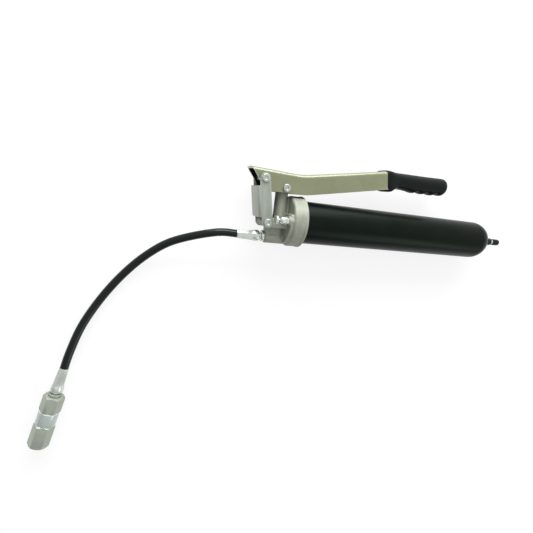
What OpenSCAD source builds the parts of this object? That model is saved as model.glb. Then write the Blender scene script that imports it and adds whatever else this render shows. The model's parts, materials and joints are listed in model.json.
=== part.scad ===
// Lever-operated grease gun with a flexible hose and a four-jaw coupler.
// The gun is drawn on its own axes, x along the barrel to the rear, y from the barrel to the lever
// and z to the side, and lay() then sets it down on its side. Sizes are in millimetres.

/* [Barrel] */
// outside diameter of the barrel tube
barrel_d = 57; // [50:0.5:64]
// wall of the barrel tube
barrel_wall = 1.5; // [1:0.1:2.5]
// length from the rear face of the cap to the middle of the domed end
barrel_len = 300; // [240:5:340]

/* [Head casting] */
// wall of the cap around the barrel
cap_wall = 5.5; // [3:0.5:8]
// length of the cap
cap_len = 19.5; // [17:0.5:26]
// depth of the threaded socket for the barrel
socket_deep = 15; // [12:0.5:16]
// outside diameter of the pump cylinder
pump_d = 17; // [16:0.5:22]
// diameter of the outlet boss
outlet_d = 17; // [16:0.5:22]
// reach of the outlet boss ahead of the pump axis
outlet_reach = 18.5; // [17:0.5:24]

/* [Pump and linkage] */
// diameter of the plunger
plunger_d = 10; // [8:0.5:10]
// diameter of the three linkage pins
pin_d = 7; // [6:0.5:8]
// distance of the fulcrum pin ahead of the pump axis
fulcrum_reach = 20; // [18:0.5:22]
// how far the upper end of the link leans forward of its lower end
link_lean = 9; // [7:0.5:11]
// thickness of the link's sheet
link_t = 2.5; // [2:0.1:3]

/* [Lever and grip] */
// outside width of the lever channel
lever_w = 29; // [26:0.5:32]
// height of the lever channel at its bend
lever_h = 26; // [24:0.5:29]
// thickness of the lever's sheet
lever_t = 2.4; // [1.6:0.1:3]
// angle at which the lever's front falls towards the bend
lever_fall = 2; // [0:0.5:3]
// angle at which the lever rises behind the bend
lever_bend = 10.2; // [6:0.2:12]
// length of the lever's arm from the bend to the grip
lever_arm = 115; // [95:1:130]
// length of the grip
grip_len = 113; // [100:1:130]

/* [Follower] */
// diameter of the follower rod
rod_d = 8; // [6:0.5:9]
// length of the knob on the rod
knob_len = 14.5; // [12:0.5:20]

/* [Hose and coupler] */
// outside diameter of the hose
hose_d = 10.2; // [8:0.2:12]
// length of the crimped ferrule at the head
ferrule_len = 29; // [24:0.5:34]
// length of the crimped ferrule at the coupler
coupler_ferrule = 33; // [28:0.5:38]
// width across the flats of the coupler
coupler_af = 22; // [19:0.5:25]
// length of the coupler's upper half
coupler_body_len = 40; // [36:0.5:44]
// length of the hexagon on the upper half
coupler_hex_len = 21.5; // [17:0.5:26]
// length of the coupler's nose
coupler_nose_len = 31; // [27:0.5:36]

/* [Hidden] */
$fn = 64;
// clearances: threads and seats, running pins, sliding pieces
seat_gap = 0.02;
run_gap = 0.05;
slide_gap = 0.12;
side_gap = 0.5;

barrel_r = barrel_d / 2;
bore_r = barrel_r - barrel_wall;
neck_r = barrel_r - 0.6;
shoulder_x = 0.3;
cap_r = barrel_r + cap_wall;
rod_r = rod_d / 2;
pin_r = pin_d / 2;
plunger_r = plunger_d / 2;
pump_r = pump_d / 2;
pump_x = -(cap_len + pump_r + 2);
lever_base = cap_r + 1.6;
pump_top = lever_base + 0.3;

// outlet boss, valve chamber and thread
outlet_r = outlet_d / 2;
outlet_y = -(cap_r - 11);
outlet_x = pump_x - outlet_reach;
thread_r = 5;
thread_deep = 6.5;
chamber_r = 3.6;
valve_x = pump_x - 3;
valve_hole_r = 2.2;
ball_r = 3;
ball_x = valve_x - sqrt(ball_r * ball_r - valve_hole_r * valve_hole_r) - seat_gap;

// lever and link
lever_top = lever_base + lever_h;
lever_in = lever_w / 2 - lever_t;
link_in = lever_w / 2 + side_gap;
link_out = link_in + link_t;
link_r = 6.8;
web_in = 8.5;
web_out = web_in + link_t;
lug_r = 6;
fulcrum = [pump_x - fulcrum_reach, -4];
link_top = [fulcrum.x - link_lean, lever_base + 15.4];
link_long = norm(link_top - fulcrum);
link_turn = atan2(link_top.y - fulcrum.y, link_top.x - fulcrum.x) - 90;
lever_pin = [pump_x + 1.1, lever_base + 6.4];
nose_x = link_top.x - 18;
nose_cut = 52;
bend_x = pump_x + 10.5;
bend_r = 110;
lever_round = 5;
lever_taper = 0.7;
nose_rise = (bend_x - nose_x) * tan(lever_fall);
rise_x = bend_x + bend_r * (sin(lever_fall) + sin(lever_bend));
rise_y = lever_top + bend_r * (cos(lever_fall) - cos(lever_bend));
grip_x = rise_x + lever_arm;
channel_end = grip_x + 3;
head_r = 5.2;
head_t = 2.6;

// stations of the lever: x and y of its top, angle of its run, height of its section
function arm_top(x) = rise_y + (x - rise_x) * tan(lever_bend);
function arm_height(x) = lever_h - lever_taper * (x - rise_x) / (channel_end - rise_x);
bend_steps = 6;
LEVER = concat([[nose_x, lever_top + nose_rise, -lever_fall, lever_h + nose_rise]],
               [for (i = [0:bend_steps])
                   let (a = (lever_bend + lever_fall) * i / bend_steps - lever_fall)
                   [bend_x + bend_r * (sin(lever_fall) + sin(a)),
                    lever_top + bend_r * (cos(lever_fall) - cos(a)), a, lever_h]],
               [[channel_end, arm_top(channel_end), lever_bend, arm_height(channel_end)]]);

// middle line of the lever behind its bend
function lever_mid(x) = arm_top(x) - lever_h / (2 * cos(lever_bend));

// plunger head, with a slot that lets the lever's pin shift as the lever swings
slot_mid = lever_pin.x + 1.3;
slot_half = 1.8;
slot_y = pin_r + 0.8;
block_half = 10;
block_low = pump_top + 0.4;
block_high = lever_pin.y + 7;

// stations of the grip: share of its length, middle above the lever's middle, half height, half width,
// and how round its section is, from 0.36 for the square collar to 1 for an ellipse
GRIP = [[0, -0.1, 14.2, 14.9, 0.36], [0.02, -0.1, 14.6, 15.3, 0.36], [0.06, -0.1, 14.6, 15.3, 0.38],
        [0.1, 0.2, 13.9, 14.8, 0.45], [0.145, 1.4, 12.5, 14.0, 0.6], [0.2, 2.5, 11.5, 13.2, 0.75],
        [0.3, 2.6, 11.7, 12.8, 0.85], [0.39, 2.3, 12.2, 12.8, 0.85], [0.46, 1.8, 12.9, 13.0, 0.85],
        [0.61, 2.1, 13.0, 13.2, 0.85], [0.76, 2.5, 13.2, 13.2, 0.85], [0.91, 3.4, 12.9, 13.0, 0.85],
        [0.955, 3.9, 11.4, 11.4, 0.9], [0.985, 4.2, 8, 8, 0.95], [1, 4.4, 4, 4, 1]];
first_finger = 0.46;
finger_pitch = 0.15;
grip_top = lever_mid(grip_x) + max([for (g = GRIP) g[1] + g[2]]);

// bleed valve
bleed_y = 1.6;
bleed_z = cap_r - 9;
step_len = 4;
step_top = 9.8;
bleed_x = -(cap_len + step_len);
bleed_boss = 2;
bleed_front = bleed_x - bleed_boss;
bleed_len = 11.5;
button_gap = 2.6;
button_t = 3.2;
button_r = 5.6;
button_x = bleed_front - bleed_len - button_gap;

// rod and follower
gland_x = barrel_len + barrel_r + 17;
knob_x = gland_x + 4.5;
knob_r = rod_r + 1;
gland_r = rod_r + 1.7;
follower_x = 12;
follower_len = 20;
spring_r = bore_r - 6;
spring_wire = 2.4;
spring_start = follower_x + 8.5 + spring_wire / 2;
spring_end = barrel_len + sqrt(bore_r * bore_r - pow(spring_r + spring_wire / 2, 2)) - spring_wire / 2;

// ferrules and hose
hose_r = hose_d / 2;
collar_len = 4.2;
neck_len = 2.8;
tail_r = 2.4;
ferrule_x = outlet_x - collar_len - neck_len;
hose_x = ferrule_x - ferrule_len;

// the gun lies on the cap's edge and the domed end, which tips it slightly
pitch = asin((cap_r - barrel_r) / barrel_len);
axis_h = cap_r * cos(pitch);
origin_x = -(knob_x + knob_len + hose_x) / 2;
origin_y = -(grip_top - cap_r) / 2;
function laid(p) = [p.x * cos(pitch) + p.z * sin(pitch) + origin_x,
                    p.y + origin_y,
                    p.z * cos(pitch) - p.x * sin(pitch) + axis_h];

// the coupler lies on the round of its upper half; its place and heading on the floor
coupler_round = coupler_af / 2 + 0.8;
coupler_place = [-421, -240, coupler_round];
coupler_turn = -105;
heading = [cos(coupler_turn), sin(coupler_turn), 0];
gap_len = 1.6;
ring_len = 3.4;
body_z = coupler_ferrule + gap_len + ring_len;
nose_z = body_z + coupler_body_len;
mouth_z = nose_z + coupler_nose_len;
mouth_r = 3.6;
lip_len = 2.5;
mouth_deep = lip_len - 0.7;
pocket_r = coupler_af / 2 - 3;
jaw_len = 11;
jaw_z = mouth_z - lip_len - jaw_len;
seal_len = 5;
stem_r = 5;

// route of the hose, from the ferrule on the head down to the floor and along it to the coupler
hose_start = laid([hose_x, outlet_y, 0]);
ROUTE = [hose_start, hose_start + [-22, 0, 0.2],
         [-278, -58, 28], [-308, -71, 19], [-334, -91, 11.5], [-357, -115, 7], [-377, -141, 5.6],
         [-394, -168, 6], [-406, -192, 8.6],
         coupler_place - 20 * heading, coupler_place];

module lay() {
    translate([origin_x, origin_y, axis_h])
        rotate([0, pitch, 0])
            children();
}

// frame of the coupler, with its axis along z from the ferrule to the mouth
module at_coupler() {
    translate(coupler_place)
        rotate([0, 90, coupler_turn])
            children();
}

module along_x(x, len, r) {
    translate([x, 0, 0])
        rotate([0, 90, 0])
            cylinder(h = len, r = r);
}

module along_y(y, len, r) {
    translate([0, y, 0])
        rotate([-90, 0, 0])
            cylinder(h = len, r = r);
}

// a turned piece on the x axis from points of radius and x
module turned_x(points) {
    rotate([0, 90, 0])
        rotate_extrude()
            polygon(points);
}

module hexagon(z, len, flats) {
    translate([0, 0, z])
        rotate([0, 0, 30])
            cylinder(h = len, r = flats / sqrt(3), $fn = 6);
}

// quarter round from angle a to b about a middle point
function arc(c, r, a, b, n = 8) =
    [for (i = [0:n]) c + r * [cos(a + (b - a) * i / n), sin(a + (b - a) * i / n)]];

// closed skin over a row of rings of points, turning right about the way they go
module skin(rings) {
    n = len(rings[0]);
    last = len(rings) - 1;
    points = [for (ring = rings, p = ring) p];
    walls = [for (i = [0:last - 1], k = [0:n - 1], half = [0, 1])
        let (a = i * n + k, b = i * n + (k + 1) % n)
        half == 0 ? [a, b, b + n] : [a, b + n, a + n]];
    polyhedron(points, concat(walls, [[for (k = [n - 1:-1:0]) k], [for (k = [0:n - 1]) last * n + k]]));
}

// an unbroken helix of round wire along z; its gap to itself is measured between curls
module coil(len, r, wire, turns) {
    function middle(i) = [r * cos(i * 45), r * sin(i * 45), i * len / (turns * 8)];
    gap = norm(middle(8) - middle(0)) - wire;
    echo(coil_gap = gap);
    skin([for (i = [0:turns * 8])
        [for (k = [0:5])
            middle(i) + wire / 2 * [cos(k * 60) * cos(i * 45), cos(k * 60) * sin(i * 45), sin(k * 60)]]]);
}

// smooth curve through the route, and its tangent
function at(list, i) = list[min(max(i, 0), len(list) - 1)];
function bend(a, b, c, d, t) =
    0.5 * (2 * b + (c - a) * t + (2 * a - 5 * b + 4 * c - d) * t * t + (3 * b - a - 3 * c + d) * t * t * t);
function along(list, u) =
    let (i = min(floor(u), len(list) - 2))
    bend(at(list, i - 1), at(list, i), at(list, i + 1), at(list, i + 2), u - i);
function heading_at(list, u) =
    let (a = along(list, max(u - 0.02, 0)), b = along(list, min(u + 0.02, len(list) - 1)))
    (b - a) / norm(b - a);

// round tube along a route, closed and square at both ends
module tube(list, r, sides, per_step) {
    rings = (len(list) - 1) * per_step;
    skin([for (i = [0:rings])
        let (u = i / per_step,
             p = along(list, u),
             t = i == 0 ? [-cos(pitch), 0, sin(pitch)] : i == rings ? heading : heading_at(list, u),
             s = cross(t, [0, 0, 1]) / norm(cross(t, [0, 0, 1])),
             v = cross(s, t))
        [for (k = [0:sides - 1]) p + r * (cos(k * 360 / sides) * s + sin(k * 360 / sides) * v)]]);
}

// crimped sleeve on z from the hose end: eight pressed flats, then the full round end
module ferrule(long) {
    crimp = long * 0.74;
    difference() {
        union() {
            rotate([0, 0, 22.5])
                cylinder(h = crimp, r1 = hose_r + 0.6, r2 = hose_r + 1.8, $fn = 8);
            translate([0, 0, crimp - 0.5])
                rotate_extrude()
                    polygon([[0, 0], [hose_r + 1.2, 0], [hose_r + 2.3, 1.2],
                             [hose_r + 2.3, long - crimp - 0.3],
                             [hose_r + 1.5, long - crimp + 0.5], [0, long - crimp + 0.5]]);
        }
        translate([0, 0, 4])
            cylinder(h = long, r = tail_r + seat_gap);
    }
}

module cap_form() {
    turned_x(concat([[0, -cap_len]],
                    arc([cap_r - 4.2, 3.5 - cap_len], 3.5, -90, 0),
                    [[cap_r - 0.7, -4], [cap_r, -3.4], [cap_r, -0.9], [cap_r - 0.9, 0], [0, 0]]));
}

// lower half of the cap's face stands forward and carries the bleed valve
module face_step() {
    intersection() {
        along_x(bleed_x, step_len + 1, cap_r - 3.6);
        translate([bleed_x - 1, -cap_r, -cap_r])
            cube([step_len + 3, cap_r + step_top, 2 * cap_r]);
    }
}

module pump_form() {
    translate([pump_x, 0, 0])
        along_y(outlet_y, pump_top - outlet_y, pump_r);
    // web behind the pump cylinder
    translate([pump_x, outlet_y, -pump_r * 0.4])
        cube([-pump_x - 16, cap_r - 3.6 - outlet_y, pump_r * 0.8]);
}

module outlet_form() {
    translate([0, outlet_y, 0])
        turned_x([[0, outlet_x], [outlet_r - 1.2, outlet_x], [outlet_r, outlet_x + 1.2],
                  [outlet_r, -16], [0, -16]]);
}

// lug between the ears of the link
module lug_form() {
    half = link_in - side_gap;
    translate([fulcrum.x, fulcrum.y, -half])
        cylinder(h = 2 * half, r = lug_r);
    translate([fulcrum.x, fulcrum.y - lug_r, -half])
        cube([-cap_len - fulcrum.x + 1, 2 * lug_r, 2 * half]);
    // rib that carries the lug on the outlet boss
    translate([outlet_x + 1, outlet_y, -outlet_r * 0.85])
        cube([outlet_reach - 1, fulcrum.y - outlet_y, outlet_r * 1.7]);
}

module pump_head() {
    color("#c9c9c2")
    lay()
    difference() {
        union() {
            cap_form();
            face_step();
            pump_form();
            outlet_form();
            lug_form();
            translate([0, bleed_y, bleed_z])
                along_x(bleed_front, bleed_boss + step_len + 1, 6.2);
        }
        // socket for the barrel
        along_x(-socket_deep, socket_deep + 1, neck_r + seat_gap);
        // pump bore, open at the top for the seal
        translate([pump_x, 0, 0])
            along_y(outlet_y + 6, pump_top - outlet_y, plunger_r + run_gap);
        translate([pump_x, 0, 0])
            along_y(pump_top - 6, 7, plunger_r + 2);
        // way in from the barrel
        translate([0, 8, 0])
            along_x(pump_x, -pump_x, 4);
        // way out past the check valve
        translate([pump_x, 0, 0])
            along_y(outlet_y, 10, 2.4);
        translate([0, outlet_y, 0])
            along_x(valve_x - 1, pump_x - valve_x + 1, valve_hole_r);
        translate([0, outlet_y, 0])
            along_x(outlet_x, valve_x - outlet_x, chamber_r);
        translate([0, outlet_y, 0])
            along_x(outlet_x - 1, thread_deep + 1, thread_r);
        // fulcrum pin
        translate([fulcrum.x, fulcrum.y, -cap_r])
            cylinder(h = 2 * cap_r, r = pin_r + run_gap);
        // bleed valve, with its vent into the socket
        translate([0, bleed_y, bleed_z])
            along_x(bleed_front - 1, 8, 4);
        translate([0, bleed_y, bleed_z])
            along_x(bleed_x, 12, 1.5);
    }
}

module head_gasket() {
    color("#2a2a2a")
    lay()
    difference() {
        along_x(-socket_deep, 1.5, neck_r - 0.1);
        along_x(-socket_deep - 1, 4, bore_r - 0.4);
    }
}

module barrel() {
    front = 1.5 - socket_deep;
    color("#1c1f1f")
    lay()
    turned_x(concat([[bore_r, front], [neck_r - 0.5, front], [neck_r, front + 0.5],
                     [neck_r, shoulder_x], [barrel_r, shoulder_x]],
                    arc([0, barrel_len], barrel_r, 0, acos((gland_r + seat_gap) / barrel_r), 20),
                    arc([0, barrel_len], bore_r, acos((gland_r + seat_gap) / bore_r), 0, 20)));
}

module rod_gland() {
    inside = barrel_len + sqrt(bore_r * bore_r - pow(gland_r + 2.4, 2)) - 0.02;
    bore = rod_r + slide_gap;
    color("#161616")
    lay()
    turned_x(concat([[bore, inside - 2.5], [gland_r + 2.4, inside - 2.5], [gland_r + 2.4, inside],
                     [gland_r, inside]],
                    arc([gland_r - 1, gland_x - 1], 1, 0, 90, 6),
                    [[bore, gland_x]]));
}

module plunger_seal() {
    color("#2a2a2a")
    lay()
    translate([pump_x, 0, 0])
    difference() {
        along_y(pump_top - 6, 4.2, plunger_r + 2 - seat_gap);
        along_y(pump_top - 7, 8, plunger_r + 0.03);
    }
}

module seal_washer() {
    color("#b9bdbf")
    lay()
    translate([pump_x, 0, 0])
    difference() {
        along_y(pump_top - 1.8, 1.8, plunger_r + 2 - seat_gap);
        along_y(pump_top - 3, 8, plunger_r + slide_gap);
    }
}

module check_ball() {
    color("#c4c8ca")
    lay()
    translate([ball_x, outlet_y, 0])
        sphere(r = ball_r, $fn = 48);
}

module check_spring() {
    wire = 0.6;
    from = outlet_x + thread_deep + wire / 2;
    to = ball_x - sqrt(ball_r * ball_r - 2.3 * 2.3) - wire / 2 - 0.1;
    color("#9aa0a3")
    lay()
    translate([from, outlet_y, 0])
        rotate([0, 90, 0])
            coil(to - from, 2.5, wire, 3);
}

module outlet_fitting() {
    color("#b9bdbf")
    lay()
    translate([0, outlet_y, 0])
    difference() {
        union() {
            along_x(outlet_x, thread_deep, thread_r - seat_gap);
            turned_x([[0, outlet_x], [thread_r + 2, outlet_x], [thread_r + 2.6, outlet_x - 0.8],
                      [thread_r + 2.6, outlet_x - collar_len + 0.6],
                      [thread_r + 2, outlet_x - collar_len], [0, outlet_x - collar_len]]);
            along_x(ferrule_x, neck_len + 1, thread_r - 0.6);
            along_x(ferrule_x - ferrule_len + 4.4, ferrule_len, tail_r);
        }
        along_x(hose_x, 80, 1.4);
    }
}

module bleed_body() {
    nose = bleed_front - bleed_len;
    color("#b9bdbf")
    lay()
    translate([0, bleed_y, bleed_z])
    difference() {
        union() {
            along_x(bleed_front, 6.9, 4 - seat_gap);
            translate([bleed_front, 0, 0])
                rotate([0, -90, 0])
                    hexagon(0, 4.5, 10);
            turned_x([[0, nose + 8], [4.2, nose + 8], [4.8, nose + 6.6], [4.8, nose + 1.8],
                      [3.4, nose], [0, nose]]);
        }
        along_x(nose - 1, 40, 1.5 + slide_gap);
        along_x(nose + 2, 40, 3.1);
    }
}

module bleed_button() {
    nose = bleed_front - bleed_len;
    front = button_x - button_t;
    color("#c4c8ca")
    lay()
    translate([0, bleed_y, bleed_z]) {
        turned_x(concat([[0, front]],
                        arc([button_r - 1, front + 1], 1, -90, 0, 4),
                        [[button_r, button_x - 0.5], [button_r - 0.5, button_x], [0, button_x]]));
        along_x(button_x - 0.5, bleed_front + 2 - button_x, 1.5);
        along_x(nose + 2.3, 1.2, 2.7);
    }
}

module bleed_spring() {
    wire = 0.5;
    from = bleed_front - bleed_len + 3.5;
    to = bleed_front + 6.9;
    color("#9aa0a3")
    lay()
    translate([from + wire / 2, bleed_y, bleed_z])
        rotate([0, 90, 0])
            coil(to - from - wire, 2.2, wire, 8);
}

// frame of the link, with its y axis from the fulcrum pin to the upper pin
module at_link() {
    translate([fulcrum.x, fulcrum.y, 0])
        rotate([0, 0, link_turn])
            children();
}

module link_side(z) {
    translate([0, 0, z]) {
        cylinder(h = link_t, r = link_r);
        translate([0, link_long, 0])
            cylinder(h = link_t, r = link_r);
        translate([-link_r, 0, 0])
            cube([2 * link_r, link_long, link_t]);
    }
}

// bent front of the link, a channel section with rounded corners
module link_front() {
    low = 7.5;
    high = link_long - 9;
    r = link_t + 1;
    section = concat(arc([-web_out + r, link_out - r], r, 180, 90, 6),
                     [[0, link_out], [0, link_in], [-web_in, link_in], [-web_in, -link_in],
                      [0, -link_in], [0, -link_out]],
                     arc([-web_out + r, -link_out + r], r, 270, 180, 6));
    translate([0, low, 0])
        rotate([-90, 0, 0])
            linear_extrude(high - low)
                polygon(section);
}

module fulcrum_link() {
    color("#bfc4c4")
    lay()
    at_link()
    difference() {
        union() {
            link_side(link_in);
            link_side(-link_out);
            link_front();
        }
        for (y = [0, link_long])
            translate([0, y, -link_out - 1])
                cylinder(h = 2 * link_out + 2, r = pin_r + seat_gap);
    }
}

// rivet across z with a domed head at each end
module rivet(half) {
    edge = 0.9;
    head = concat([[0, 0], [head_r, 0]],
                  arc([head_r - edge, head_t - edge], edge, 0, 90, 5),
                  [[2.3, head_t], [1.9, head_t - 0.7], [0, head_t - 0.7]]);
    translate([0, 0, -half - 0.1])
        cylinder(h = 2 * half + 0.2, r = pin_r);
    for (s = [0, 1])
        mirror([0, 0, s])
            translate([0, 0, half + 0.02])
                rotate_extrude()
                    polygon(head);
}

module link_pin_lower() {
    color("#c4c8ca")
    lay()
    at_link()
        rivet(link_out);
}

module link_pin_upper() {
    color("#c4c8ca")
    lay()
    at_link()
        translate([0, link_long, 0])
            rivet(link_out);
}

// channel section, open below, with its top at y = 0
function channel(w, h, t, r) =
    concat([[-w / 2, -h]],
           arc([r - w / 2, -r], r, 180, 90, 6),
           arc([w / 2 - r, -r], r, 90, 0, 6),
           [[w / 2, -h], [w / 2 - t, -h], [w / 2 - t, -t], [t - w / 2, -t], [t - w / 2, -h]]);

// outline of the same section without its hollow
function filled(w, h, r) =
    concat([[-w / 2, -h]],
           arc([r - w / 2, -r], r, 180, 90, 6),
           arc([w / 2 - r, -r], r, 90, 0, 6),
           [[w / 2, -h]]);

// a section placed at a station of the lever
function at_station(s, section) =
    [for (p = section) [s.x - p.y * sin(s.z), s.y + p.y * cos(s.z), -p.x]];

// the channel swept along the lever: straight, round the bend, straight
module lever_form() {
    skin([for (s = LEVER) at_station(s, channel(lever_w, s[3], lever_t, lever_round))]);
}

// room for the lever's end in the grip
module lever_room(gap) {
    stations = [for (x = [rise_x + lever_arm / 2, channel_end + gap])
                   [x, arm_top(x) + gap, lever_bend, arm_height(x) + 2 * gap]];
    skin([for (s = stations) at_station(s, filled(lever_w + 2 * gap, s[3], lever_round))]);
}

// narrow end of the lever inside the grip
module tang(room) {
    mid = lever_mid(grip_x) + 3.9;
    half = lever_in - 4;
    translate([grip_x - 6, mid - 7.5 - room, -half - room])
        cube([grip_len * 0.72 + room, 15 + 2 * room, 2 * (half + room)]);
}

module lever() {
    color("#b3b096")
    lay()
    difference() {
        union() {
            lever_form();
            tang(0);
        }
        // front end cut back so the lever clears the link as it swings
        translate([nose_x, lever_top + nose_rise, -lever_w])
            rotate([0, 0, -nose_cut])
                translate([-lever_h, -2 * lever_h, 0])
                    cube([3 * lever_h, 2 * lever_h, 2 * lever_w]);
        translate([link_top.x, link_top.y, -lever_w])
            cylinder(h = 2 * lever_w, r = pin_r + run_gap);
        translate([lever_pin.x, lever_pin.y, -lever_w])
            cylinder(h = 2 * lever_w, r = pin_r + seat_gap);
    }
}

module plunger_pin() {
    color("#c4c8ca")
    lay()
    translate([lever_pin.x, lever_pin.y, 0])
        rivet(lever_w / 2);
}

module plunger() {
    wide = lever_in - 3;
    color("#aeb2b4")
    lay()
    difference() {
        union() {
            translate([pump_x, 0, 0])
                along_y(-10, block_low + 11, plunger_r);
            translate([pump_x - block_half, block_low, -wide])
                cube([2 * block_half, block_high - block_low, 2 * wide]);
        }
        for (s = [-1, 1])
            translate([slot_mid + s * slot_half, lever_pin.y, -lever_w])
                cylinder(h = 2 * lever_w, r = slot_y);
        translate([slot_mid - slot_half, lever_pin.y - slot_y, -lever_w])
            cube([2 * slot_half, 2 * slot_y, 2 * lever_w]);
    }
}

// section of the grip between a square and an ellipse
function squarish(v, e) = sign(v) * pow(abs(v), e);

module grip_form() {
    sides = 32;
    rings = (len(GRIP) - 1) * 4;
    last_finger = first_finger + 3 * finger_pitch;
    skin([for (i = [0:rings])
        let (g = along(GRIP, i / 4),
             lean = tan(lever_bend) * max(0, 1 - g[0] / 0.25),
             notch = 1 - abs(cos((g[0] - first_finger) / finger_pitch * 180)),
             fingers = g[0] > first_finger && g[0] < last_finger ? 1.6 * notch : 0)
        [for (k = [0:sides - 1])
            let (a = k * 360 / sides,
                 low = max(0, -sin(a)),
                 y = g[1] + (g[2] - fingers * low) * squarish(sin(a), g[4]))
            [grip_x + g[0] * grip_len - y * lean, lever_mid(grip_x) + y, g[3] * squarish(cos(a), g[4])]]]);
}

module grip() {
    color("#181818")
    lay()
    difference() {
        grip_form();
        tang(0.05);
        // mouth that the lever channel enters
        lever_room(0.1);
    }
}

module follower_rod() {
    front = follower_x - 4;
    color("#b9bdbf")
    lay()
    turned_x([[0, front], [rod_r - 1, front], [rod_r, front + 1], [rod_r, front + 30],
              [rod_r - 1, front + 31], [rod_r - 1, front + 34], [rod_r, front + 35],
              [rod_r, knob_x + knob_len - 4], [0, knob_x + knob_len - 4]]);
}

module rod_knob() {
    end = knob_x + knob_len;
    color("#161616")
    lay()
    difference() {
        turned_x(concat([[0, knob_x], [knob_r - 0.6, knob_x], [knob_r, knob_x + 0.6]],
                        arc([knob_r - 3.2, end - 3.2], 3.2, 0, 90, 8),
                        [[0, end]]));
        along_x(knob_x - 1, knob_len - 3 + seat_gap, rod_r + seat_gap);
    }
}

module follower_cup() {
    r = bore_r - slide_gap;
    x = follower_x + 2;
    hole = rod_r + 0.3;
    color("#2a2a2a")
    lay()
    turned_x([[hole, x], [r - 2, x], [r, x + 2], [r - 0.6, x + 10], [r, follower_x + follower_len],
              [r - 1.6, follower_x + follower_len], [r - 2.6, x + 10], [r - 4, x + 5], [hole, x + 5]]);
}

module follower_plate(x) {
    color("#b9bdbf")
    lay()
    difference() {
        along_x(x, 1.5, bore_r - 4.6);
        along_x(x - 1, 4, rod_r + 0.3);
    }
}

module follower_front_plate() {
    follower_plate(follower_x + 0.5);
}

module follower_rear_plate() {
    follower_plate(follower_x + 7);
}

module follower_spring() {
    color("#9aa0a3")
    lay()
    translate([spring_start, 0, 0])
        rotate([0, 90, 0])
            coil(spring_end - spring_start, spring_r, spring_wire, 18);
}

module ferrule_head() {
    color("#c4c8ca")
    lay()
    translate([hose_x, outlet_y, 0])
        rotate([0, 90, 0])
            ferrule(ferrule_len);
}

module hose() {
    color("#141414")
    tube(ROUTE, hose_r, 12, 4);
}

module ferrule_coupler() {
    color("#c4c8ca")
    at_coupler()
        ferrule(coupler_ferrule);
}

module coupler_stem() {
    color("#b9bdbf")
    at_coupler()
    difference() {
        union() {
            translate([0, 0, 4.4])
                cylinder(h = coupler_ferrule, r = tail_r);
            translate([0, 0, coupler_ferrule])
                cylinder(h = gap_len + 1, r = stem_r - 0.4);
            translate([0, 0, coupler_ferrule + gap_len])
                rotate_extrude()
                    polygon([[0, 0], [stem_r + 1.8, 0], [stem_r + 2.5, 0.7], [stem_r + 2.5, ring_len - 0.7],
                             [stem_r + 1.8, ring_len], [0, ring_len]]);
            translate([0, 0, body_z - 1])
                cylinder(h = 11, r = stem_r - seat_gap);
        }
        translate([0, 0, 3])
            cylinder(h = body_z + 12, r = 1.4);
    }
}

// hexagon with its corners turned off at both ends
module turned_hexagon(z, len, top, low) {
    corner = coupler_af / sqrt(3);
    intersection() {
        hexagon(z, len, coupler_af);
        translate([0, 0, z])
            rotate_extrude()
                polygon([[0, 0], [corner - low, 0], [corner + 0.2, low * 0.8],
                         [corner + 0.2, len - top * 0.8], [corner - top, len], [0, len]]);
    }
}

module coupler_body() {
    round_r = coupler_round;
    hex_len = coupler_hex_len;
    round_len = coupler_body_len - hex_len + 0.5;
    color("#c4c8ca")
    at_coupler()
    difference() {
        union() {
            turned_hexagon(body_z, hex_len, 1.2, 2.6);
            translate([0, 0, body_z + hex_len - 0.5])
                rotate_extrude()
                    polygon([[0, 0], [round_r - 1, 0], [round_r, 1.4], [round_r, round_len - 1.4],
                             [round_r - 1.2, round_len], [0, round_len]]);
            translate([0, 0, nose_z - 1])
                cylinder(h = 9, r = pocket_r - seat_gap);
        }
        translate([0, 0, body_z - 1])
            cylinder(h = 11.2, r = stem_r);
        translate([0, 0, body_z])
            cylinder(h = 80, r = 1.8);
        // seat and chamber of the check ball
        translate([0, 0, nose_z - 6])
            cylinder(h = 20, r = 3.4);
    }
}

module coupler_nose() {
    color("#c4c8ca")
    at_coupler()
    difference() {
        turned_hexagon(nose_z, coupler_nose_len, 2.4, 2);
        translate([0, 0, nose_z - 1])
            cylinder(h = coupler_nose_len - lip_len + 1, r = pocket_r);
        translate([0, 0, nose_z])
            cylinder(h = coupler_nose_len + 1, r = mouth_r);
        translate([0, 0, mouth_z - mouth_deep])
            cylinder(h = mouth_deep + 0.1, r1 = mouth_r, r2 = pocket_r - 0.4);
    }
}

module coupler_jaws() {
    inner = mouth_r - 0.25;
    color("#9aa0a3")
    at_coupler()
    difference() {
        translate([0, 0, jaw_z])
            cylinder(h = jaw_len, r = pocket_r - seat_gap);
        translate([0, 0, jaw_z - 1])
            cylinder(h = jaw_len + 2, r = inner);
        for (a = [0, 90])
            rotate([0, 0, a + 45])
                translate([-0.5, -20, jaw_z - 1])
                    cube([1, 40, jaw_len + 2]);
    }
}

module coupler_seal() {
    color("#2a2a2a")
    at_coupler()
    difference() {
        translate([0, 0, jaw_z - seal_len])
            cylinder(h = seal_len, r = pocket_r - seat_gap);
        translate([0, 0, jaw_z - seal_len - 1])
            cylinder(h = seal_len + 2, r = 1.6);
    }
}

module coupler_spring() {
    wire = 0.5;
    from = nose_z - 6 + 5.1 + wire / 2;
    to = jaw_z - seal_len - wire / 2;
    color("#9aa0a3")
    at_coupler()
    translate([0, 0, from])
        coil(to - from, 2.4, wire, 7);
}

module coupler_ball() {
    r = 2.9;
    color("#c4c8ca")
    at_coupler()
    translate([0, 0, nose_z - 6 + sqrt(r * r - 1.8 * 1.8) + seat_gap])
        sphere(r = r, $fn = 48);
}

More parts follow.
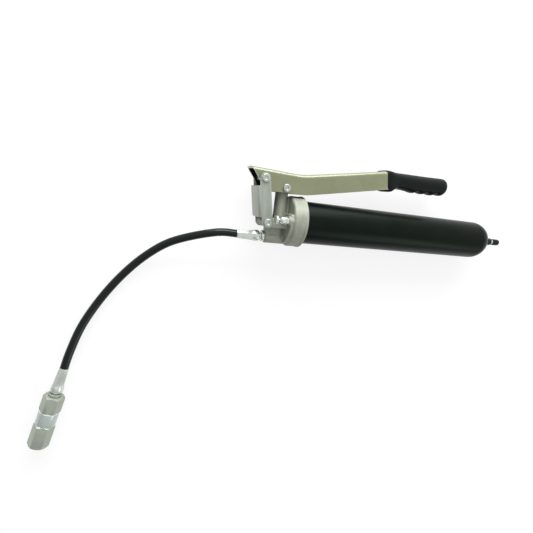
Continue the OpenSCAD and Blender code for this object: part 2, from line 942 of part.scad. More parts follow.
pump_head();
head_gasket();
barrel();
rod_gland();
plunger_seal();
seal_washer();
check_ball();
check_spring();
outlet_fitting();
bleed_body();
bleed_button();
bleed_spring();
fulcrum_link();
link_pin_lower();
link_pin_upper();
lever();
grip();
plunger_pin();
plunger();
follower_rod();
rod_knob();
follower_cup();
follower_front_plate();
follower_rear_plate();
follower_spring();
ferrule_head();
hose();
ferrule_coupler();
coupler_stem();
coupler_body();
coupler_nose();
coupler_jaws();
coupler_seal();
coupler_spring();
coupler_ball();
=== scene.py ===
"""Looks of the lever grease gun: surfaces, materials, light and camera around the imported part."""
import json
import math

import bmesh
import bpy
from mathutils import Matrix, Vector


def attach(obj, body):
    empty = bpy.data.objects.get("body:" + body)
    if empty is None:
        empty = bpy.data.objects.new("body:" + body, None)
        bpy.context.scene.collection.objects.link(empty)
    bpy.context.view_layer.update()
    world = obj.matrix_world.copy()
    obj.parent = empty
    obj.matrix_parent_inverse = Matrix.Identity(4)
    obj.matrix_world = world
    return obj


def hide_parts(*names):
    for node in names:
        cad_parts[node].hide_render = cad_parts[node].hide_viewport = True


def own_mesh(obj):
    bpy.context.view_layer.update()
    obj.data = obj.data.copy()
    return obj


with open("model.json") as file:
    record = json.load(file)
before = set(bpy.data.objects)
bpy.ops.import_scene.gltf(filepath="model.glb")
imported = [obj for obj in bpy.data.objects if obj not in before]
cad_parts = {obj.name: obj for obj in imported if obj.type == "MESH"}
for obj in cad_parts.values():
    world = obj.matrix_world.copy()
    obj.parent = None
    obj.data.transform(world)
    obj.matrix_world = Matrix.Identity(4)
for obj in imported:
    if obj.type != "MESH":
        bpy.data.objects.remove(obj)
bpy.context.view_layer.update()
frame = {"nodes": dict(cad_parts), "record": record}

MM = 0.001
QUARTER_TURN = math.radians(90)

# Sizes in millimetres and angles, as in the part's source.
SEAT_GAP = 0.02
BARREL_R = 28.5
BARREL_WALL = 1.5
BARREL_LEN = 300
CAP_WALL = 5.5
NECK_R = 27.9
SHOULDER_X = 0.3
SOCKET_DEEP = 15
GASKET_T = 1.5
GLAND_R = 5.7
OUTLET_Y = -23
HOSE_R = 5.1
HOSE_X = -84.5
FERRULE_LEN = 29
COUPLER_FERRULE = 33
CRIMP_SHARE = 0.74
ROUND_Z = (60.0, 78.0)
LEVER_W = 29
LEVER_H = 26
LEVER_T = 2.4
LEVER_ROUND = 5
LEVER_BASE = 35.6
LEVER_TOP = LEVER_BASE + LEVER_H
LEVER_FALL = math.radians(2)
LEVER_BEND = math.radians(10.2)
LEVER_TAPER = 0.7
LEVER_ARM = 115
BEND_X = -19.5
BEND_R = 110
NOSE_X = -77
NOSE_CUT = math.radians(52)
NOSE_TOP = LEVER_TOP + (BEND_X - NOSE_X) * math.tan(LEVER_FALL)
RISE_X = BEND_X + BEND_R * (math.sin(LEVER_FALL) + math.sin(LEVER_BEND))
RISE_Y = LEVER_TOP + BEND_R * (math.cos(LEVER_FALL) - math.cos(LEVER_BEND))
GRIP_X = RISE_X + LEVER_ARM
GRIP_LEN = 113
GRIP_MID = RISE_Y + LEVER_ARM * math.tan(LEVER_BEND) - LEVER_H / (2 * math.cos(LEVER_BEND))
CHANNEL_END = GRIP_X + 3

# Frames of the part's source, in metres: the gun lies on its side, the coupler beside it.
GUN_PLACE = (-0.140, -0.0265272, 0.0339943)
PITCH = math.asin(CAP_WALL / BARREL_LEN)
GUN = Matrix.Translation(GUN_PLACE) @ Matrix.Rotation(PITCH, 4, "Y")
HOSE_END = (GUN @ Matrix.Translation((HOSE_X * MM, OUTLET_Y * MM, 0))
            @ Matrix.Rotation(QUARTER_TURN, 4, "Y"))
COUPLER_PLACE = Vector((-0.421, -0.240, 0.0118))
COUPLER_TURN = math.radians(-105)
COUPLER = (Matrix.Translation(COUPLER_PLACE) @ Matrix.Rotation(COUPLER_TURN, 4, "Z")
           @ Matrix.Rotation(QUARTER_TURN, 4, "Y"))
HEADING = Vector((math.cos(COUPLER_TURN), math.sin(COUPLER_TURN), 0))

# The hose's route between its straight ends, in metres.
HOSE_LEAD = Vector((-0.022, 0, 0.0002))
HOSE_ROUTE = [(-0.278, -0.058, 0.028), (-0.308, -0.071, 0.019), (-0.334, -0.091, 0.0115),
              (-0.357, -0.115, 0.007), (-0.377, -0.141, 0.0056), (-0.394, -0.168, 0.006),
              (-0.406, -0.192, 0.0086)]
COUPLER_LEAD = 0.020

# Rings of the grip: share of its length, middle above the lever's middle, half height,
# half width, and roundness of the section. Its end is a little rounder and its notches are
# deeper than in the part's source. The first rings lean with the lever.
GRIP = [[0, -0.1, 14.2, 14.9, 0.36], [0.02, -0.1, 14.6, 15.3, 0.36],
        [0.06, -0.1, 14.6, 15.3, 0.38], [0.1, 0.2, 13.9, 14.8, 0.45],
        [0.145, 1.4, 12.5, 14.0, 0.6], [0.2, 2.5, 11.5, 13.2, 0.75],
        [0.3, 2.6, 11.7, 12.8, 0.85], [0.39, 2.3, 12.2, 12.8, 0.85],
        [0.46, 1.8, 12.9, 13.0, 0.85], [0.61, 2.1, 13.0, 13.2, 0.85],
        [0.76, 2.5, 13.2, 13.2, 0.85], [0.90, 3.35, 12.9, 13.0, 0.85],
        [0.948, 3.7, 11.3, 11.4, 0.9], [0.982, 3.9, 7.8, 8, 0.95], [1, 4.0, 3.6, 3.8, 1]]
LEAN_SHARE = 0.25
FIRST_FINGER = 0.46
FINGER_PITCH = 0.15
LAST_FINGER = FIRST_FINGER + 3 * FINGER_PITCH
NOTCH_DEEP = 2.8
GROOVE_DEEP = 0.3
GROOVE_AT = 0.945
GROOVE_WIDE = 0.005

# Mesh steps of the surfaces that are made here, and roundings of those that are copied.
BARREL_SIDES = 160
GRIP_SIDES = 72
FERRULE_SIDES = 64
EDGE_ROUND = 0.3
HEX_ROUND = 0.45
EDGE_ANGLE = math.radians(32)
WELD = 2e-6
FLAT_ANGLE = math.radians(0.6)
CAST_GRAIN = 0.5
CAST_ROUNDS = 5

# Fine texture of all the surfaces, and their lighter edges: partly wear, partly a painted
# highlight.
GRAIN_DEEP = 0.0004
COAT_ROUGH = 0.16
WEAR_AND_HIGHLIGHT_MOST = 0.7
WEAR_AND_HIGHLIGHT_FROM = 0.54
WEAR_AND_HIGHLIGHT_TO = 0.62

# Photograph: its width, and the fitted camera's focal length and shift, in pixels.
PHOTO_PX = 533
FOCAL_PX = 380
SHIFT_PX = -18.5
SENSOR = 36
CAMERA_SPOT = (-0.196357, 0.028048, 0.479779)
CAMERA_RIGHT = Vector((0.93432, 0.12218, 0.33483))
CAMERA_UP = Vector((-0.05437, 0.97727, -0.20490))

# Studio: a pale floor, a world that is softly brighter on one side, and three soft lamps,
# each with its place, target, size and power.
FLOOR_SIZE = 6
FLOOR_Z = -0.0004
FLOOR_GREY = 0.25
FLOOR_LIFT = 0.81
BRIGHT_SIDE = (0.42, 0.84, 0.34)
BRIGHT_REACH = 0.7
DIM_SIDE = 0.5
WORLD_FILL = 0.55
LAMPS = {"key": ((-0.1, 1.35, 0.8), (-0.1, 0, 0), (1.4, 0.8), 24),
         "side": ((0.9, -1.1, 0.9), (-0.2, -0.1, 0), (0.8, 0.8), 4),
         "rim": ((-0.05, 1.25, 0.22), (-0.05, 0, 0.03), (1.6, 0.4), 8)}


def add_node(tree, kind, **values):
    """A new node, with values for its sockets or its settings."""
    node = tree.nodes.new(kind)
    for key, value in values.items():
        if key in node.inputs:
            node.inputs[key].default_value = value
        else:
            setattr(node, key, value)
    return node


def noise(tree, coords, scale, detail):
    texture = add_node(tree, "ShaderNodeTexNoise", Scale=scale, Detail=detail)
    tree.links.new(coords, texture.inputs["Vector"])
    return texture.outputs["Fac"]


def spread(tree, value, low, high, from_low=0.3, from_high=0.7):
    """Map a value, such as a noise, onto a range."""
    ends = {"From Min": from_low, "From Max": from_high, "To Min": low, "To Max": high}
    node = add_node(tree, "ShaderNodeMapRange", **ends)
    tree.links.new(value, node.inputs["Value"])
    return node


def mix_colour(tree, factor, a, b):
    node = add_node(tree, "ShaderNodeMix", data_type="RGBA")
    colours = [s for s in node.inputs if s.type == "RGBA"]
    for socket, value in zip(colours, (a, b)):
        if isinstance(value, tuple):
            socket.default_value = (*value, 1)
        else:
            tree.links.new(value, socket)
    tree.links.new(factor, node.inputs["Factor"])
    return [s for s in node.outputs if s.type == "RGBA"][0]


def finish_material(name, light, dark, rough, metallic=0.0, patch=60, grain=900, bump=0.1,
                    wear_and_edge_highlight=None, coat=0.0, specular=0.5, tint=(1, 1, 1)):
    """A surface with slow colour patches, fine grain in its roughness and bump, and lighter edges:
    partly wear, partly a painted highlight.
    """
    mat = bpy.data.materials.new(name)
    mat.use_nodes = True
    tree = mat.node_tree
    shader = tree.nodes["Principled BSDF"]
    coords = add_node(tree, "ShaderNodeTexCoord").outputs["Object"]
    slow = noise(tree, coords, patch, detail=5)
    fine = noise(tree, coords, grain, detail=3)
    colour = mix_colour(tree, spread(tree, slow, 0, 1).outputs["Result"], dark, light)
    if wear_and_edge_highlight:
        # Pointiness lightens the edges: partly wear, partly a painted highlight.
        edge = add_node(tree, "ShaderNodeNewGeometry").outputs["Pointiness"]
        share = spread(tree, edge, 0, WEAR_AND_HIGHLIGHT_MOST, WEAR_AND_HIGHLIGHT_FROM, WEAR_AND_HIGHLIGHT_TO).outputs["Result"]
        colour = mix_colour(tree, share, colour, wear_and_edge_highlight)
    tree.links.new(colour, shader.inputs["Base Color"])
    both = add_node(tree, "ShaderNodeMath", operation="ADD")
    for socket, texture in zip(both.inputs, (slow, fine)):
        half = spread(tree, texture, rough[0] / 2, rough[1] / 2)
        tree.links.new(half.outputs["Result"], socket)
    tree.links.new(both.outputs[0], shader.inputs["Roughness"])
    shader.inputs["Metallic"].default_value = metallic
    shader.inputs["Specular IOR Level"].default_value = specular
    shader.inputs["Specular Tint"].default_value = (*tint, 1)
    shader.inputs["Coat Weight"].default_value = coat
    shader.inputs["Coat Roughness"].default_value = COAT_ROUGH
    relief = add_node(tree, "ShaderNodeBump", Strength=bump, Distance=GRAIN_DEEP)
    tree.links.new(fine, relief.inputs["Height"])
    tree.links.new(relief.outputs["Normal"], shader.inputs["Normal"])
    return mat


BLACK_PAINT = finish_material(
    "black_paint", (0.0060, 0.0078, 0.0068), (0.0036, 0.0048, 0.0045), (0.24, 0.36),
    patch=25, grain=700, bump=0.03, specular=0.09, tint=(0.66, 1, 0.72))
LEVER_PAINT = finish_material(
    "lever_paint", (0.231, 0.250, 0.132), (0.196, 0.213, 0.111), (0.24, 0.36),
    metallic=0.12, patch=35, grain=2600, bump=0.05, wear_and_edge_highlight=(0.46, 0.48, 0.37), coat=1.0)
# Near-black for the inside of the lever's channel: painted shade.
LEVER_PAINTED_SHADE = finish_material(
    "lever_painted_shade", (0.012, 0.013, 0.011), (0.006, 0.007, 0.006), (0.55, 0.7),
    patch=60, grain=1500, bump=0.1, specular=0.15)
CAST = finish_material(
    "cast_aluminium", (0.395, 0.415, 0.343), (0.295, 0.31, 0.252), (0.50, 0.66),
    metallic=0.38, patch=90, grain=1500, bump=0.12)
ZINC = finish_material(
    "zinc_steel", (0.66, 0.71, 0.655), (0.56, 0.60, 0.55), (0.18, 0.32),
    metallic=0.9, patch=90, grain=2200, bump=0.05)
PIN_STEEL = finish_material(
    "pin_steel", (0.50, 0.54, 0.49), (0.40, 0.44, 0.39), (0.24, 0.38),
    metallic=0.7, patch=90, grain=2200, bump=0.05)
# Bright chamfers: partly the machined steel's own colour, partly a painted glint.
MACHINED_EDGE_AND_GLINT = finish_material(
    "machined_edge_and_glint", (0.74, 0.78, 0.75), (0.66, 0.70, 0.67), (0.2, 0.3),
    metallic=0.6, patch=90, grain=2200, bump=0.04)
LINK_STEEL = finish_material(
    "link_steel", (0.385, 0.425, 0.36), (0.335, 0.37, 0.315), (0.28, 0.42),
    metallic=0.45, patch=60, grain=2200, bump=0.05, wear_and_edge_highlight=(0.55, 0.6, 0.55))
# Its lighter edge colour is partly wear, partly a painted highlight.
COUPLER_STEEL = finish_material(
    "coupler_steel", (0.45, 0.495, 0.42), (0.37, 0.41, 0.34), (0.30, 0.44),
    metallic=0.55, patch=70, grain=2200, bump=0.05, wear_and_edge_highlight=(0.72, 0.77, 0.74))
DULL_STEEL = finish_material(
    "dull_steel", (0.42, 0.455, 0.39), (0.35, 0.38, 0.325), (0.62, 0.78),
    metallic=0.25, patch=70, grain=2200, bump=0.05)
# Its lighter edge colour is partly wear, partly a painted highlight.
TURNED_STEEL = finish_material(
    "turned_steel", (0.57, 0.65, 0.62), (0.49, 0.56, 0.535), (0.22, 0.34),
    metallic=0.55, patch=70, grain=2200, bump=0.05, wear_and_edge_highlight=(0.72, 0.77, 0.74))
DARK_STEEL = finish_material(
    "dark_steel", (0.30, 0.31, 0.32), (0.20, 0.21, 0.22), (0.25, 0.42),
    metallic=1.0, patch=120, grain=1800, bump=0.05)
SPRING_STEEL = finish_material(
    "spring_steel", (0.42, 0.43, 0.44), (0.32, 0.33, 0.34), (0.25, 0.38),
    metallic=1.0, patch=200, grain=2500, bump=0.04)
BALL_STEEL = finish_material(
    "ball_steel", (0.74, 0.75, 0.76), (0.68, 0.69, 0.70), (0.06, 0.12),
    metallic=1.0, patch=200, grain=2500, bump=0.01)
GRIP_RUBBER = finish_material(
    "grip_rubber", (0.0075, 0.0095, 0.0085), (0.0045, 0.0058, 0.0058), (0.38, 0.54),
    patch=70, grain=1900, bump=0.16, specular=0.13, tint=(0.82, 1, 0.92))
HOSE_RUBBER = finish_material(
    "hose_rubber", (0.0052, 0.0062, 0.0056), (0.0032, 0.0040, 0.0038), (0.10, 0.20),
    patch=60, grain=900, bump=0.02, specular=0.3, tint=(0.86, 1, 0.94))
SEAL_RUBBER = finish_material(
    "seal_rubber", (0.035, 0.035, 0.036), (0.022, 0.022, 0.023), (0.55, 0.7),
    patch=120, grain=1500, bump=0.1)
BLACK_PLASTIC = finish_material(
    "black_plastic", (0.009, 0.0105, 0.0100), (0.005, 0.006, 0.006), (0.34, 0.5),
    patch=140, grain=2000, bump=0.08, specular=0.15)

# The record's material slots, and each node's slot and body.
SURFACES = {"cast_aluminium": CAST, "black_paint": BLACK_PAINT, "lever_paint": LEVER_PAINT,
            "zinc_steel": ZINC, "dark_steel": DARK_STEEL, "spring_steel": SPRING_STEEL,
            "ball_steel": BALL_STEEL, "grip_rubber": GRIP_RUBBER, "hose_rubber": HOSE_RUBBER,
            "seal_rubber": SEAL_RUBBER, "black_plastic": BLACK_PLASTIC}
SLOT_OF = {s["node"]: s["material_slot"] for s in frame["record"]["subparts"]}
BODIES = frame["record"]["behaviour"]["bodies"]
BODY_OF = {node: body for body, nodes in BODIES.items() for node in nodes}


def link(name, data):
    obj = bpy.data.objects.new(name, data)
    bpy.context.scene.collection.objects.link(obj)
    return obj


def shade(obj, sharp):
    """Soft shading across edges up to an angle in degrees."""
    obj.data.polygons.foreach_set("use_smooth", [True] * len(obj.data.polygons))
    obj.data.set_sharp_from_angle(angle=math.radians(sharp))
    return obj


def place(obj, node):
    """Give a new piece its node's body and its slot's surface, and hide the node."""
    slot = SLOT_OF[node]
    obj.data.materials.clear()
    obj.data.materials.append(SURFACES[slot])
    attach(obj, BODY_OF[node])
    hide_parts(node)
    return obj


def settle(obj):
    """Replace an object's mesh by what its modifiers make of it."""
    bpy.context.view_layer.update()
    graph = bpy.context.evaluated_depsgraph_get()
    mesh = bpy.data.meshes.new_from_object(obj.evaluated_get(graph))
    obj.modifiers.clear()
    obj.data = mesh
    return obj


def rounded(node, width=EDGE_ROUND):
    """A copy of a node with its edges broken by a small round."""
    mesh = frame["nodes"][node].data.copy()
    bm = bmesh.new()
    bm.from_mesh(mesh)
    bmesh.ops.remove_doubles(bm, verts=bm.verts, dist=WELD)
    bmesh.ops.dissolve_limit(bm, angle_limit=FLAT_ANGLE, verts=bm.verts, edges=bm.edges)
    bm.to_mesh(mesh)
    bm.free()
    obj = link(node + "_finish", mesh)
    bevel = obj.modifiers.new("round", "BEVEL")
    bevel.width = width * MM
    bevel.segments = 2
    bevel.limit_method = "ANGLE"
    bevel.angle_limit = EDGE_ANGLE
    bevel.use_clamp_overlap = True
    return place(shade(settle(obj), sharp=50), node)


def cast(node):
    """A copy of a node remade as a casting: one skin with soft corners."""
    obj = link(node + "_finish", frame["nodes"][node].data.copy())
    remesh = obj.modifiers.new("skin", "REMESH")
    remesh.mode = "VOXEL"
    remesh.voxel_size = CAST_GRAIN * MM
    soft = obj.modifiers.new("soft", "SMOOTH")
    soft.factor = 0.5
    soft.iterations = CAST_ROUNDS
    return place(shade(settle(obj), sharp=60), node)


def skin(name, rings, matrix, closed=False):
    """A mesh over rings of points in millimetres, capped or closed on itself, set in a frame."""
    bm = bmesh.new()
    rows = [[bm.verts.new(matrix @ (Vector(p) * MM)) for p in ring] for ring in rings]
    count = len(rows[0])
    pairs = list(zip(rows, rows[1:])) + ([(rows[-1], rows[0])] if closed else [])
    for a, b in pairs:
        for k in range(count):
            bm.faces.new((a[k], a[(k + 1) % count], b[(k + 1) % count], b[k]))
    if not closed:
        bm.faces.new(rows[0])
        bm.faces.new(rows[-1])
    bmesh.ops.recalc_face_normals(bm, faces=bm.faces)
    mesh = bpy.data.meshes.new(name)
    bm.to_mesh(mesh)
    bm.free()
    return link(name, mesh)


def turns(count):
    """Angles of evenly spaced points round a ring."""
    return [2 * math.pi * k / count for k in range(count)]


def arc(cx, cy, r, start, end, steps):
    """Points on an arc, angles in degrees."""
    angles = [math.radians(start + (end - start) * i / steps) for i in range(steps + 1)]
    return [(cx + r * math.cos(a), cy + r * math.sin(a)) for a in angles]


def smooth_between(rows, u):
    """Smooth curve through rows of numbers, as in the part's source."""
    i = min(int(u), len(rows) - 2)
    t = u - i
    a, b, c, d = (rows[min(max(i + k, 0), len(rows) - 1)] for k in (-1, 0, 1, 2))
    return [0.5 * (2 * q + (r - p) * t + (2 * p - 5 * q + 4 * r - s) * t ** 2
                   + (3 * q - p - 3 * r + s) * t ** 3) for p, q, r, s in zip(a, b, c, d)]


def make_barrel():
    """Drawn tube with a neck in the head's socket and a domed end round the gland."""
    front = GASKET_T - SOCKET_DEEP
    bore = BARREL_R - BARREL_WALL
    mouth = GLAND_R + SEAT_GAP
    lead = 0.5
    broken = 0.3
    dome_steps = 28
    wall_steps = 12
    outline = [(bore, front), (NECK_R - lead, front), (NECK_R, front + lead), (NECK_R, SHOULDER_X),
               (BARREL_R - broken, SHOULDER_X), (BARREL_R, SHOULDER_X + broken)]
    outline += [(BARREL_R, BARREL_LEN * i / wall_steps) for i in range(1, wall_steps)]
    outside_end = math.degrees(math.acos(mouth / BARREL_R))
    inside_end = math.degrees(math.acos(mouth / bore))
    outline += arc(0, BARREL_LEN, BARREL_R, 0, outside_end, dome_steps)
    outline += arc(0, BARREL_LEN, bore, inside_end, 0, dome_steps)
    angles = turns(BARREL_SIDES)
    rings = [[(x, r * math.cos(a), r * math.sin(a)) for a in angles] for r, x in outline]
    place(shade(skin("barrel_finish", rings, GUN, closed=True), sharp=40), "barrel")


def lever_section():
    """Outline of the lever's channel as (side, depth), with the indices of its inner face."""
    r, h, w, t = LEVER_ROUND, LEVER_H, LEVER_W / 2, LEVER_T
    edge = 0.35
    inner = r - t
    flank_steps, outer_steps, inner_steps = 6, 12, 4
    flank = [r + (h - r) * k / flank_steps for k in range(1, flank_steps)]
    outside = [(-w + edge, h), (-w, h - edge)] + [(-w, depth) for depth in reversed(flank)]
    outside += [(x, -y) for x, y in arc(r - w, -r, r, 180, 90, outer_steps)]
    outside += [(x, -y) for x, y in arc(w - r, -r, r, 90, 0, outer_steps)]
    outside += [(w, depth) for depth in flank] + [(w, h - edge), (w - edge, h)]
    inside = [(w - t + edge, h), (w - t, h - edge)]
    inside += [(x, -y) for x, y in arc(w - r, -r, inner, 0, 90, inner_steps)]
    inside += [(x, -y) for x, y in arc(r - w, -r, inner, 90, 180, inner_steps)]
    inside += [(-w + t, h - edge), (-w + t - edge, h)]
    return outside + inside, range(len(outside) + 1, len(outside) + len(inside) - 2)


def stretched(depth, height):
    """Depth in the lever's section where the channel is as high as given."""
    r = LEVER_ROUND
    return depth if depth < r else r + (depth - r) * (height - r) / (LEVER_H - r)


def front_y(x, depth):
    """Height of a point of the section in the lever's straight front."""
    drop = (BEND_X - x) * math.tan(LEVER_FALL)
    return LEVER_TOP + drop - stretched(depth, LEVER_H + drop)


def nose_x(depth):
    """Where the slanted cut of the front end meets a depth of the section, by rounds."""
    x = NOSE_X
    rounds = 8
    for _ in range(rounds):
        x = NOSE_X + (NOSE_TOP - front_y(x, depth)) / math.tan(NOSE_CUT)
    return x


def make_lever():
    """Channel swept along the lever: slanted nose, straight front, bend and arm."""
    section, inner = lever_section()
    cut = [nose_x(depth) for side, depth in section]
    rings = []
    for share in (0, 0.02, 0.2, 0.4, 0.6, 0.8, 0.97):
        along = [x + (BEND_X - x) * share for x in cut]
        rings.append([(x, front_y(x, depth), -side) for x, (side, depth) in zip(along, section)])
    bend_steps = 10
    stations = []
    for i in range(1, bend_steps + 1):
        a = (LEVER_BEND + LEVER_FALL) * i / bend_steps - LEVER_FALL
        stations.append((BEND_X + BEND_R * (math.sin(LEVER_FALL) + math.sin(a)),
                         LEVER_TOP + BEND_R * (math.cos(LEVER_FALL) - math.cos(a)), a, LEVER_H))
    arm = CHANNEL_END - RISE_X
    for share in (0.2, 0.4, 0.6, 0.8, 1):
        stations.append((RISE_X + arm * share, RISE_Y + arm * share * math.tan(LEVER_BEND),
                         LEVER_BEND, LEVER_H - LEVER_TAPER * share))
    for x, y, a, height in stations:
        deep = [(stretched(depth, height), side) for side, depth in section]
        rings.append([(x + d * math.sin(a), y - d * math.cos(a), -side) for d, side in deep])
    lever = place(shade(skin("lever_finish", rings, GUN), sharp=40), "lever")
    # The channel's inner faces get the near-black surface: painted shade.
    lever.data.materials.append(LEVER_PAINTED_SHADE)
    for i in range(len(rings) - 1):
        for k in inner:
            lever.data.polygons[i * len(section) + k].material_index = 1


def squarish(v, e):
    return math.copysign(abs(v) ** e, v)


def make_grip():
    """Moulded grip with a collar, finger notches below and a fine groove before its end."""
    per_step = 9
    rings = []
    for i in range((len(GRIP) - 1) * per_step + 1):
        share, mid, tall, wide, e = smooth_between(GRIP, i / per_step)
        lean = math.tan(LEVER_BEND) * max(0, 1 - share / LEAN_SHARE)
        notch = 0.0
        if FIRST_FINGER < share < LAST_FINGER:
            finger = (share - FIRST_FINGER) / FINGER_PITCH
            notch = NOTCH_DEEP * (1 - abs(math.cos(finger * math.pi)))
        groove = GROOVE_DEEP * math.exp(-((share - GROOVE_AT) / GROOVE_WIDE) ** 2)
        ring = []
        for a in turns(GRIP_SIDES):
            low = max(0, -math.sin(a))
            y = mid + (tall - SEAT_GAP - notch * low - groove) * squarish(math.sin(a), e)
            z = (wide - groove) * squarish(math.cos(a), e)
            ring.append((GRIP_X + share * GRIP_LEN - y * lean, GRIP_MID + y, z))
        rings.append(ring)
    place(shade(skin("grip_finish", rings, GUN), sharp=55), "grip")


def make_ferrule(node, matrix, length):
    """Sleeve on z from the hose's end: pressed flats that run out into a full round with a lip."""
    crimp = length * CRIMP_SHARE
    steps = 10
    # place on the sleeve, height above the hose, and how flat the eight sides are
    stations = [(0.0, 0.25, 0.5), (0.5, 0.55, 0.8)]
    stations += [(crimp * k / steps, 0.55 + 1.2 * k / steps, 1.0) for k in range(1, steps)]
    stations += [(crimp, 1.85, 0.8), (crimp + 1.0, 2.2, 0.25), (crimp + 1.8, 2.3, 0)]
    stations += [(length - 1.6, 2.3, 0), (length - 0.7, 2.1, 0), (length, 1.5, 0)]
    half_side = math.pi / 8
    rings = []
    for z, high, flat in stations:
        ring = []
        for a in turns(FERRULE_SIDES):
            turn = (a + half_side) % (2 * half_side) - half_side
            octagon = math.cos(half_side) / math.cos(turn)
            r = (HOSE_R + high) * (1 + flat * (octagon - 1))
            ring.append((r * math.cos(a), r * math.sin(a), z))
        rings.append(ring)
    return place(shade(skin(node + "_finish", rings, matrix), sharp=30), node)


def make_coupler():
    """Stem, hexagonal halves with a bright turned band between them, and jaws."""
    pieces = []
    chamfer_least, chamfer_most = 0.2, 0.93
    bright_from = ROUND_Z[0] - 6
    turned, bright, dull = 1, 2, 3
    for name in ("coupler_stem", "coupler_body", "coupler_nose"):
        piece = rounded(name, HEX_ROUND)
        piece.data.materials[0] = COUPLER_STEEL
        for surface in (TURNED_STEEL, MACHINED_EDGE_AND_GLINT, DULL_STEEL):
            piece.data.materials.append(surface)
        for face in piece.data.polygons:
            along = (face.center - COUPLER_PLACE).dot(HEADING) / MM
            # Chamfers past the shoulder get the bright colour, partly a painted glint; the
            # shoulder's chamfers get dull rough steel.
            if chamfer_least < abs(face.normal.dot(HEADING)) < chamfer_most:
                face.material_index = bright if along > bright_from else dull
            elif ROUND_Z[0] < along < ROUND_Z[1]:
                face.material_index = turned
        pieces.append(piece)
    return pieces + [rounded("coupler_jaws")]


def make_springs():
    """Copies of the coils that the record lists as deforming with their joints."""
    springs = {}
    for joint in frame["record"]["behaviour"]["joints"]:
        for entry in joint.get("deforming_nodes", []):
            node = entry["node"]
            mesh = frame["nodes"][node].data.copy()
            spring = place(shade(link(node + "_finish", mesh), sharp=60), node)
            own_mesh(spring)
            springs[node] = spring
    return springs


def make_hose():
    """The hose on its route, with the point where it starts and its length."""
    start = GUN @ (Vector((HOSE_X, OUTLET_Y, 0)) * MM)
    route = [start, start + HOSE_LEAD, *HOSE_ROUTE,
             COUPLER_PLACE - HEADING * COUPLER_LEAD, COUPLER_PLACE]
    rows = [list(p) for p in route]
    per_step = 3
    count = (len(rows) - 1) * per_step + 1
    points = [smooth_between(rows, i / per_step) for i in range(count)]
    curve = bpy.data.curves.new("hose_finish", "CURVE")
    curve.dimensions = "3D"
    curve.bevel_depth = HOSE_R * MM
    curve.bevel_resolution = 7
    curve.resolution_u = 8
    curve.use_fill_caps = True
    spline = curve.splines.new("BEZIER")
    spline.bezier_points.add(count - 1)
    for handle, point in zip(spline.bezier_points, points):
        handle.co = point
        handle.handle_left_type = handle.handle_right_type = "AUTO"
    length = sum((Vector(a) - Vector(b)).length for a, b in zip(points, points[1:]))
    return place(link("hose_finish", curve), "hose"), start, length


def seen_directly(tree):
    """1 for what the camera sees, also in a mirror or through glass, 0 for light that spreads."""
    path = add_node(tree, "ShaderNodeLightPath")
    total = path.outputs["Is Camera Ray"]
    for name in ("Is Glossy Ray", "Is Transmission Ray"):
        most = add_node(tree, "ShaderNodeMath", operation="MAXIMUM")
        tree.links.new(total, most.inputs[0])
        tree.links.new(path.outputs[name], most.inputs[1])
        total = most.outputs[0]
    return total


def make_floor():
    """A pale floor that looks white and keeps the gun's shadow."""
    bm = bmesh.new()
    bmesh.ops.create_grid(bm, x_segments=1, y_segments=1, size=FLOOR_SIZE)
    mesh = bpy.data.meshes.new("floor")
    bm.to_mesh(mesh)
    bm.free()
    floor = link("floor", mesh)
    floor.location = (0, 0, FLOOR_Z)
    mat = bpy.data.materials.new("floor")
    mat.use_nodes = True
    tree = mat.node_tree
    shader = tree.nodes["Principled BSDF"]
    shader.inputs["Base Color"].default_value = (FLOOR_GREY, FLOOR_GREY, FLOOR_GREY, 1)
    shader.inputs["Roughness"].default_value = 0.9
    shader.inputs["Specular IOR Level"].default_value = 0.1
    shader.inputs["Emission Color"].default_value = (1, 1, 1, 1)
    lift = add_node(tree, "ShaderNodeMath", operation="MULTIPLY")
    lift.inputs[1].default_value = FLOOR_LIFT
    tree.links.new(seen_directly(tree), lift.inputs[0])
    tree.links.new(lift.outputs[0], shader.inputs["Emission Strength"])
    floor.data.materials.append(mat)


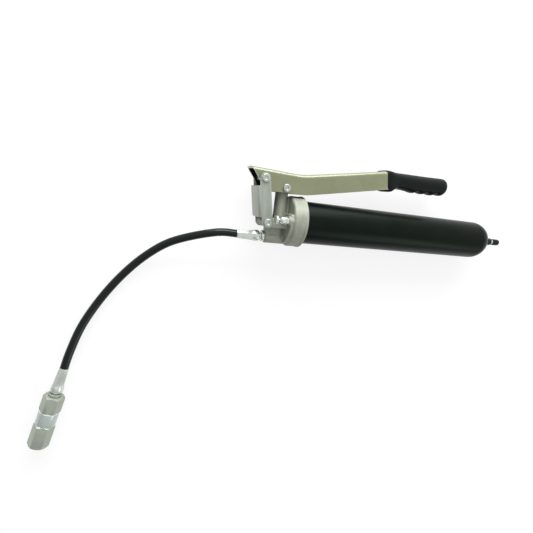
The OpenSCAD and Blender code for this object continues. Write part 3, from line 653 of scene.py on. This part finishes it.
def make_world():
    """Soft light all round, brighter on one side. The camera sees it white."""
    world = bpy.data.worlds.new("studio")
    bpy.context.scene.world = world
    world.use_nodes = True
    tree = world.node_tree
    background = tree.nodes["Background"]
    coords = add_node(tree, "ShaderNodeTexCoord").outputs["Generated"]
    towards = add_node(tree, "ShaderNodeVectorMath", operation="DOT_PRODUCT")
    towards.inputs[1].default_value = BRIGHT_SIDE
    tree.links.new(coords, towards.inputs[0])
    soft = spread(tree, towards.outputs["Value"], DIM_SIDE, 1, -BRIGHT_REACH, BRIGHT_REACH)
    soft.interpolation_type = "SMOOTHSTEP"
    white = add_node(tree, "ShaderNodeMath", operation="MAXIMUM")
    tree.links.new(soft.outputs["Result"], white.inputs[0])
    path = add_node(tree, "ShaderNodeLightPath")
    tree.links.new(path.outputs["Is Camera Ray"], white.inputs[1])
    tree.links.new(white.outputs[0], background.inputs["Color"])
    strength = spread(tree, seen_directly(tree), WORLD_FILL, 1, 0, 1)
    tree.links.new(strength.outputs["Result"], background.inputs["Strength"])


def add_light(name, spot, target, size, power):
    lamp = bpy.data.lights.new(name, "AREA")
    lamp.shape = "RECTANGLE"
    lamp.size, lamp.size_y = size
    lamp.energy = power
    obj = link(name, lamp)
    obj.location = spot
    obj.rotation_euler = (Vector(target) - Vector(spot)).to_track_quat("-Z", "Y").to_euler()


def make_camera():
    """The photograph's view, with its principal point right of the middle of the frame."""
    data = bpy.data.cameras.new("camera")
    data.sensor_width = SENSOR
    data.lens = SENSOR * FOCAL_PX / PHOTO_PX
    data.shift_x = SHIFT_PX / PHOTO_PX
    data.clip_start = 0.01
    camera = link("camera", data)
    back = CAMERA_RIGHT.cross(CAMERA_UP)
    turn = Matrix((CAMERA_RIGHT, CAMERA_UP, back)).transposed()
    camera.matrix_world = GUN @ Matrix.Translation(CAMERA_SPOT) @ turn.to_4x4()
    bpy.context.scene.camera = camera


make_barrel()
make_lever()
make_grip()
springs = make_springs()
make_ferrule("ferrule_head", HOSE_END, FERRULE_LEN)
on_hose = [make_ferrule("ferrule_coupler", COUPLER, COUPLER_FERRULE)]
cast("pump_head")
for name in ("outlet_fitting", "bleed_body", "bleed_button", "rod_gland", "rod_knob", "plunger"):
    rounded(name)
for name in ("link_pin_lower", "link_pin_upper", "plunger_pin"):
    rounded(name).data.materials[0] = PIN_STEEL
rounded("fulcrum_link").data.materials[0] = LINK_STEEL
on_hose += make_coupler()
for name, obj in frame["nodes"].items():
    if not obj.hide_render:
        obj.data.materials.clear()
        obj.data.materials.append(SURFACES[SLOT_OF[name]])
on_hose += [springs["coupler_spring"], frame["nodes"]["coupler_seal"],
            frame["nodes"]["coupler_ball"]]
hose, hose_start, hose_length = make_hose()

make_floor()
make_world()
for name, values in LAMPS.items():
    add_light(name, *values)
make_camera()
bpy.context.scene.view_settings.view_transform = "Standard"
